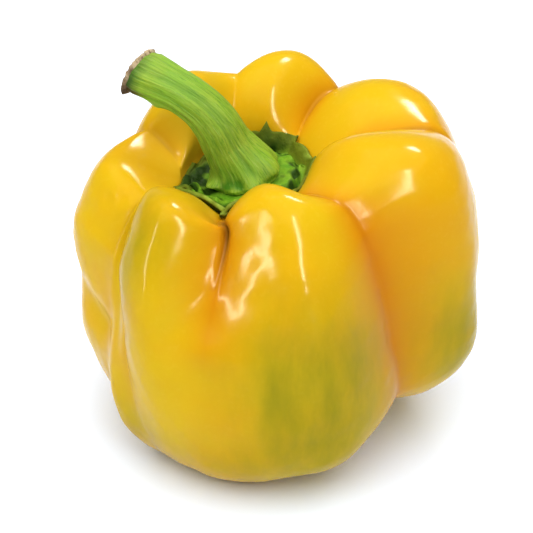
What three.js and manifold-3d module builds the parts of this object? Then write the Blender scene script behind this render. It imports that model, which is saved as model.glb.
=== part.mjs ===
// A blocky yellow bell pepper with its green calyx and its curved stalk.
// Lengths are in millimetres and +Z is up. The fruit stands on the swellings round its blossom end.

import * as THREE from 'three';
import Module from 'manifold-3d';

// Heights shared by every lobe of the fruit
const HOLLOW_HEIGHT = 9;
const BELLY_HEIGHT = 34;
const UPPER_HEIGHT = 50;
const CROWN_FLOOR = 55;

// Radius of the crown pit where its wall comes down
const NECK_RADIUS = 13.5;

// The line the lobes stand round leans to the left and back near the crown: height share, then X and Y
const AXIS_LEAN = [[0, -1, 0], [0.6, -1, 0], [0.8, -6, 2], [1, -6.5, 2.5]];
const CROWN = { x: -6.5, y: 2.5 };

// The lobes, seen from above and going anticlockwise from the front left.
// belly, upper and low are radii of the side, shoulder is the radius of the top of the shoulder at height,
// foot is the radius of the swelling it stands on, lift raises that swelling, heel fills out the curve above it,
// and drop lets the foot of a lifted lobe down under its heel. wall is how far the pit's wall lies inside the
// shoulder, dip lowers the top of that wall, and slope draws the side in below the shoulder.
const LOBES = [
  {
    name: 'front left', low: 41.2, belly: 44.6, upper: 44, shoulder: 31, height: 66, foot: 24, lift: 0, slope: 2,
  },
  {
    name: 'front', low: 42.5, belly: 44, upper: 42.5, shoulder: 27, height: 69.5, foot: 25, lift: 3.5,
    heel: 0.8, slope: 4.5,
  },
  {
    name: 'right', low: 46, belly: 45, upper: 45.5, shoulder: 30, height: 73.5, foot: 25, lift: 11,
    heel: 0.9, drop: 4, wall: 13.5,
  },
  { name: 'back right', low: 40, belly: 43, upper: 46, shoulder: 31, height: 69, foot: 26, lift: 0 },
  { name: 'back', low: 39, belly: 42, upper: 42, shoulder: 28, height: 71, foot: 24, lift: 0 },
  { name: 'back left', low: 39, belly: 42, upper: 38, shoulder: 23, height: 71.5, foot: 24, lift: 0, dip: 2 },
  {
    name: 'left', low: 42, belly: 41.2, upper: 43.2, shoulder: 31, height: 61.8, foot: 25, lift: 3,
    heel: 0.5, wall: 13, dip: 2,
  },
  {
    name: 'left heel', low: 42, belly: 39, upper: 35, shoulder: 22, height: 58, foot: 26.5, lift: 1,
    wall: 2.5, dip: -4,
  },
];

// The furrow before each lobe: its angle and the sharpness of its two sides at the height shares below,
// and its depth at foot, low, belly, upper, shoulder, crest and neck.
const FURROW_SHARES = [0, 0.3, 0.5, 0.73, 0.82];
const SOFT_TO_SHARP = [0.2, 0.2, 0.4, 0.8, 0.9];
const SOFT = [0.2, 0.2, 0.5, 0.9, 0.8];
const FURROWS = [
  {
    angle: [233, 226, 211, 206, 209], depth: [0.5, 1, 2, 2, 2, 2, 2],
    before: [0.1, 0.1, 0.1, 0.1, 0.1], after: [0.2, 0.5, 0.9, 0.9, 0.9],
  },
  {
    angle: [252, 250, 250, 252, 255], depth: [-1.5, 0, 0.5, 8, 9, 8, 2],
    before: [0, 0, 0.1, 0.5, 0.9], after: [0, 0, 0.2, 1, 1],
  },
  {
    angle: [325, 321, 308, 296, 302], depth: [8, 8, 9, 9, 8, 6, 2],
    before: [0.3, 0.6, 0.3, 0.3, 0.5], after: [0.1, 0.1, 0.1, 0.3, 0.6],
  },
  { angle: [376, 376, 370, 368, 380], depth: [2, 3, 3, 2.5, 3, 7, 2], before: SOFT_TO_SHARP, after: SOFT },
  { angle: [58, 58, 61, 62, 48], depth: [4.5, 5, 5, 6, 7, 8, 2], before: SOFT_TO_SHARP, after: SOFT },
  {
    angle: [103, 103, 104, 104, 104], depth: [2, 3, 3, 4, 4, 4.5, 2],
    before: [0.2, 0.2, 0.4, 0.7, 0.7], after: [0.1, 0.1, 0.2, 0.3, 0.3],
  },
  { angle: [160, 160, 156, 158, 174], depth: [4, 4, 4, 5, 5, 5, 1], before: SOFT, after: SOFT_TO_SHARP },
  {
    angle: [205, 204, 204, 202, 194], depth: [3, 2, 2, 2, 2, 2, 2],
    before: [0.2, 0.2, 0.2, 0.3, 0.3], after: [0.1, 0.1, 0.1, 0.1, 0.1],
  },
];

// Creases and swellings that belong to no furrow: a line from a to b, its half width, and its depth inwards
const FOLDS = [
  { a: [-46, -2, 36], b: [-37, -13, 31], width: 3.2, depth: 1.6 },
  { a: [-0.5, -25, 65], b: [-1.5, -38, 55], width: 4.5, depth: 0.9 },
  { a: [-15, -38, 41.5], b: [-10, -39, 40.5], width: 4.5, depth: -1.3 },
];

// Mesh of the fruit: rows up its side, then closer rows from the shoulder down into the crown pit
const COLUMNS_PER_LOBE = 10;
const SIDE_ROWS = 24;
const SHOULDER = 10.5;
const PIT_ROWS = 22;

// Clear gap kept between pieces that touch on the real pepper
const GAP = 0.3;

function mix(a, b, t) {
  return a + (b - a) * t;
}

// Value at x of the straight-line curve through the points
function along(xs, ys, x) {
  const last = xs.length - 1;
  if (x <= xs[0]) {
    return ys[0];
  }
  for (let i = 0; i < last; i += 1) {
    if (x <= xs[i + 1]) {
      return mix(ys[i], ys[i + 1], (x - xs[i]) / (xs[i + 1] - xs[i]));
    }
  }
  return ys[last];
}

// Radius and height of the points one lobe's outline is drawn through, from the blossom end,
// out over the foot, up the side, over the shoulder and down the wall of the crown pit.
function lobeOutline({
  low, belly, upper, shoulder, height, foot, lift, heel = 0.66, drop = 0, wall = 9.5, dip = 0, slope = 0,
}) {
  return [
    [0, HOLLOW_HEIGHT],
    [7, HOLLOW_HEIGHT - 1.5],
    [0.58 * foot, lift + 1],
    [foot, lift - 2.5 - drop],
    [mix(foot, low, heel), lift + 4],
    [low, lift + 18],
    [belly, BELLY_HEIGHT],
    [upper, UPPER_HEIGHT],
    [mix(upper, shoulder, 0.1) - 0.7 * slope, height - 9],
    [mix(shoulder, upper, 0.55) - slope, height + 1.5],
    [shoulder, height + 4],
    [Math.max(shoulder - wall, NECK_RADIUS + 1.5), height - dip],
    [NECK_RADIUS, Math.max(height - 10, CROWN_FLOOR + 3)],
    [NECK_RADIUS + 1, CROWN_FLOOR + 1.5],
    [8, CROWN_FLOOR],
    [0, CROWN_FLOOR],
  ];
}

// How a furrow cuts into that outline: which way it is cut there, and by which of its seven depths
const CUT = [
  { way: [0, 0], depth: () => 0 },
  { way: [0, 0], depth: () => 0 },
  { way: [0, -1], depth: (d) => 0.7 * d[0] },
  { way: [0.3, -0.95], depth: (d) => d[0] },
  { way: [0.8, -0.6], depth: (d) => 0.6 * d[0] + 0.4 * d[1] },
  { way: [1, 0], depth: (d) => d[1] },
  { way: [1, 0], depth: (d) => d[2] },
  { way: [1, 0], depth: (d) => d[3] },
  { way: [0.95, 0.3], depth: (d) => d[4] },
  { way: [0.7, 0.7], depth: (d) => 0.5 * d[4] + 0.5 * d[5] },
  { way: [0.1, 1], depth: (d) => d[5] },
  { way: [-0.6, 0.8], depth: (d) => d[5] },
  { way: [-1, 0.2], depth: (d) => d[6] },
  { way: [-1, 0], depth: (d) => 0.6 * d[6] },
  { way: [0, 0], depth: () => 0 },
  { way: [0, 0], depth: () => 0 },
];
const LAST = CUT.length - 1;

const lobeOutlines = LOBES.map(lobeOutline);
const furrowOutlines = FURROWS.map((furrow, j) => {
  const before = lobeOutlines[(j + LOBES.length - 1) % LOBES.length];
  const after = lobeOutlines[j];
  return CUT.map(({ way, depth }, k) => [
    mix(before[k][0], after[k][0], 0.5) - way[0] * depth(furrow.depth),
    mix(before[k][1], after[k][1], 0.5) - way[1] * depth(furrow.depth),
  ]);
});

// Share of the way from lobe to furrow at t, which is 0 on the lobe and 1 in the furrow.
// A sharp side stays full and drops late; the very bottom of the furrow is slightly rounded.
function towardsFurrow(t, sharpness) {
  const e = 0.1 - 0.05 * sharpness;
  const away = (Math.hypot(1 - t, e) - e) / (Math.hypot(1, e) - e);
  const near = 1 - away;
  const soft = (1 - Math.cos(Math.PI * near)) / 2;
  const sharp = 1 - Math.max(1 - near * near, 0) ** 0.62;
  return mix(soft, sharp, sharpness);
}

// One column of points from the blossom end to the crown, at position t (-1 to 1) across lobe j
function columnPoints(j, t) {
  const next = (j + 1) % LOBES.length;
  const side = t < 0 ? j : next;
  const points = [];
  for (let k = 0; k <= LAST; k += 1) {
    const share = k / LAST;
    const start = along(FURROW_SHARES, FURROWS[j].angle, share);
    const end = along(FURROW_SHARES, FURROWS[next].angle, share);
    const span = (((end - start) % 360) + 360) % 360;
    const angle = THREE.MathUtils.degToRad(start + ((t + 1) / 2) * span);
    const sharpness = along(FURROW_SHARES, t < 0 ? FURROWS[j].after : FURROWS[next].before, share);
    const g = towardsFurrow(Math.abs(t), sharpness);
    const radius = mix(lobeOutlines[j][k][0], furrowOutlines[side][k][0], g);
    const height = mix(lobeOutlines[j][k][1], furrowOutlines[side][k][1], g);
    const leanX = along(AXIS_LEAN.map((p) => p[0]), AXIS_LEAN.map((p) => p[1]), share);
    const leanY = along(AXIS_LEAN.map((p) => p[0]), AXIS_LEAN.map((p) => p[2]), share);
    points.push(new THREE.Vector3(leanX + radius * Math.cos(angle), leanY + radius * Math.sin(angle), height));
  }
  return points;
}

// The point next to an end of a column, carried across the middle of that end
function mirrored(point, middle) {
  return new THREE.Vector3(2 * middle.x - point.x, 2 * middle.y - point.y, point.z);
}

function folded(point) {
  const inward = new THREE.Vector3(-2 - point.x, -point.y, 0.3 * (BELLY_HEIGHT - point.z)).normalize();
  for (const { a, b, width, depth } of FOLDS) {
    const line = new THREE.Line3(new THREE.Vector3(...a), new THREE.Vector3(...b));
    const distance = line.closestPointToPoint(point, true, new THREE.Vector3()).distanceTo(point);
    point.addScaledVector(inward, depth * Math.exp(-((distance / width) ** 2)));
  }
  return point;
}

// Smooth curve (a uniform cubic B-spline) along a column; s runs from 0 at the blossom end to LAST at the crown
function onColumn(points, s) {
  const k = Math.min(Math.floor(s), LAST - 1);
  const u = s - k;
  const before = k > 0 ? points[k - 1] : mirrored(points[1], points[0]);
  const after = k + 2 <= LAST ? points[k + 2] : mirrored(points[LAST - 1], points[LAST]);
  return new THREE.Vector3()
    .addScaledVector(before, (1 - u) ** 3 / 6)
    .addScaledVector(points[k], (3 * u ** 3 - 6 * u ** 2 + 4) / 6)
    .addScaledVector(points[k + 1], (-3 * u ** 3 + 3 * u ** 2 + 3 * u + 1) / 6)
    .addScaledVector(after, u ** 3 / 6);
}

const columns = [];
for (let j = 0; j < LOBES.length; j += 1) {
  for (let i = 0; i < COLUMNS_PER_LOBE; i += 1) {
    const t = (2 * i) / COLUMNS_PER_LOBE - 1;
    columns.push({ lobe: j, t, points: columnPoints(j, t) });
  }
}

// Closed mesh from rows of points that each go once round, with one point at each end
function closedSurface(start, rows, end) {
  const around = rows[0].length;
  const points = [start, ...rows.flat(), end];
  const faces = [];
  const at = (row, i) => 1 + row * around + (i % around);
  for (let i = 0; i < around; i += 1) {
    faces.push(0, at(0, i + 1), at(0, i));
    faces.push(points.length - 1, at(rows.length - 1, i), at(rows.length - 1, i + 1));
  }
  for (let row = 0; row + 1 < rows.length; row += 1) {
    for (let i = 0; i < around; i += 1) {
      const [a, b, c, d] = [at(row, i), at(row, i + 1), at(row + 1, i + 1), at(row + 1, i)];
      if (points[a].distanceTo(points[c]) < points[b].distanceTo(points[d])) {
        faces.push(a, b, c, a, c, d);
      } else {
        faces.push(a, b, d, b, c, d);
      }
    }
  }
  const geometry = new THREE.BufferGeometry();
  geometry.setAttribute('position', new THREE.Float32BufferAttribute(points.flatMap((p) => p.toArray()), 3));
  geometry.setIndex(faces);
  return geometry;
}

// Fruit: one hollow berry with a thin fleshy wall, its inside closed to view.
// The lowest parts of its feet are cut level, as a pepper's soft feet settle on a table.
const wasm = await Module();
wasm.setup();

function levelled(geometry) {
  const solid = new wasm.Manifold(new wasm.Mesh({
    numProp: 3,
    vertProperties: new Float32Array(geometry.attributes.position.array),
    triVerts: new Uint32Array(geometry.index.array),
  }));
  const mesh = solid.trimByPlane([0, 0, 1], 0).getMesh();
  const cut = new THREE.BufferGeometry();
  cut.setAttribute('position', new THREE.BufferAttribute(mesh.vertProperties, 3));
  cut.setIndex(new THREE.BufferAttribute(mesh.triVerts, 1));
  return cut;
}

const fruitRows = [];
for (let row = 1; row < SIDE_ROWS + PIT_ROWS; row += 1) {
  const s = row < SIDE_ROWS
    ? (row / SIDE_ROWS) * SHOULDER
    : mix(SHOULDER, LAST, (row - SIDE_ROWS) / PIT_ROWS);
  fruitRows.push(columns.map(({ points }) => folded(onColumn(points, s))));
}
const fruitShape = levelled(closedSurface(
  onColumn(columns[0].points, 0),
  fruitRows,
  onColumn(columns[0].points, LAST),
));

// Calyx: a crumpled green cup that lines the crown pit, its rim drawn up into small pointed teeth.
// The height of the rim goes by the angle round the pit, in degrees from the right.
const RIM = [
  [0, 60.5], [15, 60.4], [25, 60.3], [36, 60.6], [47, 60.4], [58, 61.4], [66, 62.3], [80, 61.8], [100, 60.5],
  [125, 59.3], [145, 58.3], [165, 58], [190, 58.2], [205, 59.3], [220, 60.5], [232, 60.3], [247, 58.8], [262, 61],
  [280, 62], [310, 61], [360, 60.5],
];
const TEETH = [
  { angle: 72, height: 2.6, halfWidth: 6 },
  { angle: 155, height: 1, halfWidth: 7 },
  { angle: 247, height: 0.8, halfWidth: 8 },
  { angle: 300, height: 0.8, halfWidth: 10 },
];
// Its rim is ruffled all round
const RUFFLES = 14;
const RUFFLE_HEIGHT = 0.4;
const CALYX_THICKNESS = 1.7;
const CALYX_EDGE = 0.8;
const CALYX_ROWS = 15;
// It swells up round the stalk's foot, and its folds run out from there
const CALYX_RISE = 0.9;
const CALYX_FOLDS = 11;
const CALYX_FOLD_HEIGHT = 0.7;
// The stalk's seat in the middle is flat and tilts with the stalk's lean, rising by SEAT_SLOPE to the right
const SEAT_RADIUS = 9.4;
const SEAT_HEIGHT = 58.6;
const SEAT_SLOPE = 0.2;
const SEAT_BLEND = 4;

// The smaller angle between two directions, in degrees, with its sign
function turnFrom(a, b) {
  return THREE.MathUtils.euclideanModulo(b - a + 180, 360) - 180;
}

function rimHeight(angle) {
  let height = along(RIM.map((p) => p[0]), RIM.map((p) => p[1]), angle);
  height += RUFFLE_HEIGHT * Math.sin(THREE.MathUtils.degToRad(RUFFLES * angle));
  for (const tooth of TEETH) {
    const off = Math.abs(turnFrom(tooth.angle, angle));
    height += tooth.height * Math.max(0, 1 - off / tooth.halfWidth) ** 1.3;
  }
  return height;
}

// How far the calyx reaches up the pit's wall, counted down the fruit's outline from the middle of the crown
const WALL_FOOT = 13.6;
const WALL_TOP = 10.6;
const CLIMB = 0.01;
function calyxReach({ points }) {
  const neck = onColumn(points, 12.4);
  const angle = THREE.MathUtils.radToDeg(Math.atan2(neck.y - CROWN.y, neck.x - CROWN.x));
  const height = rimHeight(THREE.MathUtils.euclideanModulo(angle, 360));
  let s = WALL_FOOT;
  while (s > WALL_TOP && onColumn(points, s).z < height) {
    s -= CLIMB;
  }
  return LAST - s;
}

const calyxReaches = columns.map(calyxReach);

function seatHeight(x) {
  return SEAT_HEIGHT + SEAT_SLOPE * (x - CROWN.x);
}

// Point on the calyx over the fruit's skin; share goes from 0 in the middle to 1 at the edge
function calyxPoint(column, index, share, top) {
  const s = LAST - share * calyxReaches[index];
  const skin = onColumn(column.points, s);
  const step = 0.05;
  const down = onColumn(column.points, s + step).sub(onColumn(column.points, s - step));
  const next = onColumn(columns[(index + 1) % columns.length].points, s);
  const last = onColumn(columns[(index + columns.length - 1) % columns.length].points, s);
  const outward = next.sub(last).cross(down).normalize();
  const clear = mix(GAP, 2.6 * GAP, share);
  if (!top) {
    return skin.addScaledVector(outward, clear);
  }
  const angle = Math.atan2(skin.y - CROWN.y, skin.x - CROWN.x);
  const distance = Math.hypot(skin.x - CROWN.x, skin.y - CROWN.y);
  const spread = THREE.MathUtils.smoothstep(distance, SEAT_RADIUS, SEAT_RADIUS + SEAT_BLEND);
  const fold = Math.sin(CALYX_FOLDS * angle + 3 * share + 1.2 * Math.sin(3 * angle));
  const uneven = 0.7 + 0.3 * Math.sin(2 * angle);
  const thickness = mix(CALYX_THICKNESS, CALYX_EDGE, share ** 3);
  const lifted = CALYX_RISE + CALYX_FOLD_HEIGHT * fold * uneven;
  const crumple = lifted * Math.sin(Math.PI * spread) * (1 - share ** 4);
  const surface = skin.addScaledVector(outward, clear + thickness);
  surface.z = mix(seatHeight(surface.x), surface.z, spread) + crumple;
  return surface;
}

const calyxUnder = [];
const calyxTop = [];
for (let row = 1; row <= CALYX_ROWS; row += 1) {
  const share = row / CALYX_ROWS;
  calyxUnder.push(columns.map((column, i) => calyxPoint(column, i, share, false)));
  calyxTop.push(columns.map((column, i) => calyxPoint(column, i, share, true)));
}
const calyxShape = closedSurface(
  new THREE.Vector3(CROWN.x, CROWN.y, CROWN_FLOOR + GAP),
  [...calyxUnder, ...calyxTop.reverse()],
  new THREE.Vector3(CROWN.x, CROWN.y, SEAT_HEIGHT),
);

// Stalk: a ribbed woody stem, upright on the calyx, then bending over to the left.
// Each point of its line has the stalk's radius there.
const SEAT_NORMAL = new THREE.Vector3(-SEAT_SLOPE, 0, 1).normalize();
const FOOT = new THREE.Vector3(CROWN.x, CROWN.y, SEAT_HEIGHT).addScaledVector(SEAT_NORMAL, GAP);
const STALK_LINE = [
  { at: FOOT.toArray(), radius: 7.3 },
  { at: [-7.8, 2.2, 62.4], radius: 6.3 },
  { at: [-10.6, 2, 67.5], radius: 5.1 },
  { at: [-12.9, 2, 72.3], radius: 4.7 },
  { at: [-16.2, 2.3, 76.4], radius: 4.3 },
  { at: [-21.8, 3, 80.5], radius: 4.2 },
  { at: [-28.3, 4.4, 83.4], radius: 4.9 },
];
const STALK_SIDES = 48;
const STALK_ROWS = 36;
// Its ribs: angle round it from the right, half width in degrees, and height
const RIBS = [
  { angle: 350, halfWidth: 14, height: 0.35 },
  { angle: 320, halfWidth: 17, height: 0.25 },
  { angle: 270, halfWidth: 15, height: 0.35 },
  { angle: 238, halfWidth: 9, height: 0.35 },
  { angle: 204, halfWidth: 21, height: 0.35 },
  { angle: 163, halfWidth: 13, height: 0.3 },
  { angle: 135, halfWidth: 14, height: 0.25 },
  { angle: 100, halfWidth: 15, height: 0.3 },
  { angle: 62, halfWidth: 15, height: 0.3 },
  { angle: 24, halfWidth: 15, height: 0.3 },
];
// The round knobs just above its foot, each with its place counted in points of the stalk's line
const KNOBS = [
  { angle: 207, halfWidth: 23, height: 2.5, at: 0.5 },
  { angle: 251, halfWidth: 11, height: 1.2, at: 0.3 },
  { angle: 287, halfWidth: 17, height: 2, at: 0.42 },
  { angle: 334, halfWidth: 24, height: 2.5, at: 0.6 },
  { angle: 25, halfWidth: 20, height: 1.6, at: 0.5 },
  { angle: 70, halfWidth: 19, height: 1.4, at: 0.45 },
  { angle: 115, halfWidth: 20, height: 1.4, at: 0.5 },
  { angle: 160, halfWidth: 18, height: 1.4, at: 0.42 },
];
const KNOB_BELOW = 0.34;
const KNOB_ABOVE = 0.55;
// It is drawn in a little between and under the knobs, and rounded off at its other end
const FOOT_DRAWN_IN = 0.3;
const WAIST_DRAWN_IN = 0.7;
const END_ROUNDING = 0.4;
// The cut is slanted: its front reaches further along the stalk than its back
const CUT_SLANT = 0.4;
// A small bump under the stalk just before its cut end
const BUMP = { angle: 195, halfWidth: 24, place: 5.15, length: 0.3, height: 0.9 };

// A smooth swelling, 1 in its middle
function swell(distance, length) {
  return Math.exp(-((distance / length) ** 2));
}

const stalkCurve = new THREE.CatmullRomCurve3(
  STALK_LINE.map(({ at }) => new THREE.Vector3(...at)),
  false,
  'catmullrom',
  0.5,
);

// Direction of the stalk at a share of its length, and the two directions across it.
// Its foot is square to the seat, and it turns into the bend from there.
const TURN_LENGTH = 0.25;
function stalkFrame(share) {
  const turned = THREE.MathUtils.smoothstep(share, 0, TURN_LENGTH);
  const ahead = SEAT_NORMAL.clone().lerp(stalkCurve.getTangent(share), turned).normalize();
  const back = new THREE.Vector3(0, 1, 0);
  back.addScaledVector(ahead, -back.dot(ahead)).normalize();
  const left = new THREE.Vector3().crossVectors(back, ahead);
  return { middle: stalkCurve.getPoint(share), ahead, back, left };
}

function stalkRing(share) {
  const { middle, ahead, back, left } = stalkFrame(share);
  const place = share * (STALK_LINE.length - 1);
  const radius = along(STALK_LINE.map((_, i) => i), STALK_LINE.map((p) => p.radius), place);
  const knobShare = (at) => swell(place - at, place < at ? KNOB_BELOW : KNOB_ABOVE);
  const drawnIn = FOOT_DRAWN_IN * swell(place, 0.22) + WAIST_DRAWN_IN * knobShare(0.48);
  const rounding = END_ROUNDING * THREE.MathUtils.smoothstep(place, 5.8, 6);
  const slant = CUT_SLANT * THREE.MathUtils.smoothstep(place, 5, 6);
  const ring = [];
  for (let i = 0; i < STALK_SIDES; i += 1) {
    const angle = (i / STALK_SIDES) * 2 * Math.PI;
    const degrees = THREE.MathUtils.radToDeg(angle);
    let r = radius - drawnIn - rounding;
    for (const rib of RIBS) {
      const off = turnFrom(rib.angle + 10 * share, degrees);
      r += rib.height * swell(off, rib.halfWidth);
    }
    for (const knob of KNOBS) {
      r += knob.height * knobShare(knob.at) * swell(turnFrom(knob.angle, degrees), knob.halfWidth);
    }
    const off = turnFrom(BUMP.angle, degrees);
    r += BUMP.height * swell(place - BUMP.place, BUMP.length) * swell(off, BUMP.halfWidth);
    ring.push(middle.clone()
      .addScaledVector(ahead, -slant * r * Math.sin(angle))
      .addScaledVector(left, r * Math.cos(angle))
      .addScaledVector(back, r * Math.sin(angle)));
  }
  return ring;
}

const stalkRows = [];
for (let row = 0; row <= STALK_ROWS; row += 1) {
  stalkRows.push(stalkRing(row / STALK_ROWS));
}
const stalkShape = closedSurface(stalkCurve.getPoint(0), stalkRows, stalkCurve.getPoint(1));

// Cut end: the thin dried corky face left where the stalk was cut, slightly domed, with a worn edge
// and a small nub at its lower corner.
const CUT_THICKNESS = 0.75;
const CUT_RADIUS = 5;
const CUT_DOME = 0.25;

function cutRing(radius, out) {
  const { middle, ahead, back, left } = stalkFrame(1);
  const ring = [];
  for (let i = 0; i < STALK_SIDES; i += 1) {
    const angle = (i / STALK_SIDES) * 2 * Math.PI;
    const nub = 0.24 * swell(turnFrom(200, THREE.MathUtils.radToDeg(angle)), 20);
    const worn = 1 + 0.04 * Math.sin(2 * angle + 1.1) + 0.03 * Math.sin(5 * angle) + nub;
    ring.push(middle.clone()
      .addScaledVector(ahead, out - CUT_SLANT * worn * radius * Math.sin(angle))
      .addScaledVector(left, worn * radius * Math.cos(angle))
      .addScaledVector(back, worn * radius * Math.sin(angle)));
  }
  return ring;
}

const { middle: stalkEnd, ahead: stalkAhead } = stalkFrame(1);
const cutShape = closedSurface(
  stalkEnd.clone().addScaledVector(stalkAhead, GAP),
  [
    cutRing(0.6 * CUT_RADIUS, GAP),
    cutRing(CUT_RADIUS - 0.3, GAP),
    cutRing(CUT_RADIUS, GAP + 0.35),
    cutRing(CUT_RADIUS - 0.3, GAP + CUT_THICKNESS),
    cutRing(0.75 * CUT_RADIUS, GAP + CUT_THICKNESS + 0.5 * CUT_DOME),
    cutRing(0.4 * CUT_RADIUS, GAP + CUT_THICKNESS + 0.85 * CUT_DOME),
  ],
  stalkEnd.clone().addScaledVector(stalkAhead, GAP + CUT_THICKNESS + CUT_DOME),
);

// The whole pepper, with the middle of its footprint at the origin
function piece(name, geometry, color, roughness) {
  geometry.computeVertexNormals();
  const mesh = new THREE.Mesh(geometry, new THREE.MeshStandardMaterial({ color, roughness, metalness: 0 }));
  mesh.name = name;
  return mesh;
}

const pepper = new THREE.Group();
pepper.name = 'bell_pepper';
pepper.add(
  piece('fruit', fruitShape, 0xf2bc24, 0.25),
  piece('calyx', calyxShape, 0x5fae2c, 0.5),
  piece('stalk', stalkShape, 0x8dbb3c, 0.5),
  piece('cut_end', cutShape, 0xb59a72, 0.85),
);
const footprint = new THREE.Box3().setFromObject(pepper).getCenter(new THREE.Vector3());
pepper.position.set(-footprint.x, -footprint.y, 0);

export default pepper;
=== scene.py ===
# A yellow bell pepper standing on a white table: the fruit, its green calyx, the bent stalk and the dried
# cut end.

import bpy
import math
import numpy as np
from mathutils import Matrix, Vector


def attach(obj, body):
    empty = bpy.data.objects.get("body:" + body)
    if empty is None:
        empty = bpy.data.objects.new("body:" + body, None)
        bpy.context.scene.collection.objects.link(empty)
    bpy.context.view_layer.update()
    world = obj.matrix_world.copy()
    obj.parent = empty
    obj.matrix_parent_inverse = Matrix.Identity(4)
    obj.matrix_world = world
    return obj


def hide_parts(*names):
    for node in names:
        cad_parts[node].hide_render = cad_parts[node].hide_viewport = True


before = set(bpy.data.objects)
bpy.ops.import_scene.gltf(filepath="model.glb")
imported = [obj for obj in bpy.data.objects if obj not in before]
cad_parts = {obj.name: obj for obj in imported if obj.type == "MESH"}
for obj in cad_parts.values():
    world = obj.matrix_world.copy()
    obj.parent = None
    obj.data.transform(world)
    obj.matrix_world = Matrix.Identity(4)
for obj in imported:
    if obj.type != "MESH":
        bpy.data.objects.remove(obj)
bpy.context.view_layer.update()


# Camera
# A long lens about 65 cm from the pepper. It stands straight in front of it and looks down on the crown
# at 33 degrees.

CAMERA_HEIGHT_ANGLE = math.radians(33)
CAMERA_DISTANCE = 0.650
CAMERA_AIM = Vector((-0.00205, 0.00083, 0.0372))
camera_data = bpy.data.cameras.new("camera")
camera_data.lens = 201.9
camera_data.sensor_width = 36
camera = bpy.data.objects.new("camera", camera_data)
bpy.context.collection.objects.link(camera)
camera_side = Vector((0, -math.cos(CAMERA_HEIGHT_ANGLE), math.sin(CAMERA_HEIGHT_ANGLE)))
camera.location = CAMERA_AIM + CAMERA_DISTANCE * camera_side
camera.rotation_euler = (math.pi / 2 - CAMERA_HEIGHT_ANGLE, 0, 0)
bpy.context.scene.camera = camera


# Fruit
# One thick-walled hollow berry with a tight waxy skin. It grew as seven lobes and a small low heel round one
# axis, with a furrow between each two, and the lobes roll over into the pit where the calyx sits.
# Sizes are in millimetres until the mesh is made.

# Heights of the hollow under it, of the belly and the upper side, and of the floor of the pit
HOLLOW_HEIGHT = 9
BELLY_HEIGHT = 34
UPPER_HEIGHT = 50
CROWN_FLOOR = 55
NECK_RADIUS = 13.5
# The middle of the pit, and the axis that leads up to it, at these shares of the way from base to crown
CROWN_X = -6.5
CROWN_Y = 2.5
AXIS_SHARE = [0, 0.6, 0.8, 1]
AXIS_X = [-1, -1, -6, CROWN_X]
AXIS_Y = [0, 0, 2, CROWN_Y]

# The lobes, anticlockwise seen from above: front left, front, right, back right, back, back left, left, and
# the small heel at the left front. low, belly and upper are radii of the side, shoulder is the radius of the
# top of the shoulder at height, foot is that of the swelling it stands on, and lift raises the swelling.
# heel fills out the curve above it, drop lets it down, wall is how far the pit's wall lies inside the
# shoulder, dip lowers the top of that wall, and slope draws the side in below the shoulder.
LOBES = [
    dict(low=41.2, belly=44.6, upper=44, shoulder=31, height=66, foot=24, lift=0, slope=2),
    dict(low=42.5, belly=44, upper=42.5, shoulder=27, height=69.5, foot=25, lift=3.5, heel=0.8, slope=4.5),
    dict(low=46, belly=45, upper=45.5, shoulder=30, height=73.5, foot=25, lift=11, heel=0.9, drop=4,
         wall=13.5),
    dict(low=40, belly=43, upper=46, shoulder=31, height=69, foot=26, lift=0),
    dict(low=39, belly=42, upper=42, shoulder=28, height=71, foot=24, lift=0),
    dict(low=39, belly=42, upper=38, shoulder=23, height=71.5, foot=24, lift=0, dip=2),
    dict(low=42, belly=41.2, upper=43.2, shoulder=31, height=61.8, foot=25, lift=3, heel=0.5, wall=13,
         dip=2),
    dict(low=42, belly=39, upper=35, shoulder=22, height=58, foot=26.5, lift=1, wall=2.5, dip=-4),
]

# The furrow before each lobe: its angle and the sharpness of its sides at these shares of the height,
# and its depth at foot, low, belly, upper, shoulder, crest and neck
FURROW_SHARES = [0, 0.3, 0.5, 0.73, 0.82]
SOFT_TO_SHARP = [0.2, 0.2, 0.4, 0.8, 0.9]
SOFT = [0.2, 0.2, 0.5, 0.9, 0.8]
FURROWS = [
    dict(angle=[233, 226, 211, 206, 209], depth=[0.5, 1, 2, 2, 2, 2, 2],
         before=[0.1] * 5, after=[0.2, 0.5, 0.9, 0.9, 0.9]),
    dict(angle=[252, 250, 250, 252, 255], depth=[-1.5, 0, 0.5, 8, 9, 8, 2],
         before=[0, 0, 0.1, 0.5, 0.9], after=[0, 0, 0.2, 1, 1]),
    dict(angle=[325, 321, 308, 296, 302], depth=[8, 8, 9, 9, 8, 6, 2],
         before=[0.3, 0.6, 0.3, 0.3, 0.5], after=[0.1, 0.1, 0.1, 0.3, 0.6]),
    dict(angle=[376, 376, 370, 368, 380], depth=[2, 3, 3, 2.5, 3, 7, 2], before=SOFT_TO_SHARP, after=SOFT),
    dict(angle=[58, 58, 61, 62, 48], depth=[4.5, 5, 5, 6, 7, 8, 2], before=SOFT_TO_SHARP, after=SOFT),
    dict(angle=[103, 103, 104, 104, 104], depth=[2, 3, 3, 4, 4, 4.5, 2],
         before=[0.2, 0.2, 0.4, 0.7, 0.7], after=[0.1, 0.1, 0.2, 0.3, 0.3]),
    dict(angle=[160, 160, 156, 158, 174], depth=[4, 4, 4, 5, 5, 5, 1], before=SOFT, after=SOFT_TO_SHARP),
    dict(angle=[205, 204, 204, 202, 194], depth=[3, 2, 2, 2, 2, 2, 2],
         before=[0.2, 0.2, 0.2, 0.3, 0.3], after=[0.1] * 5),
]

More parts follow.
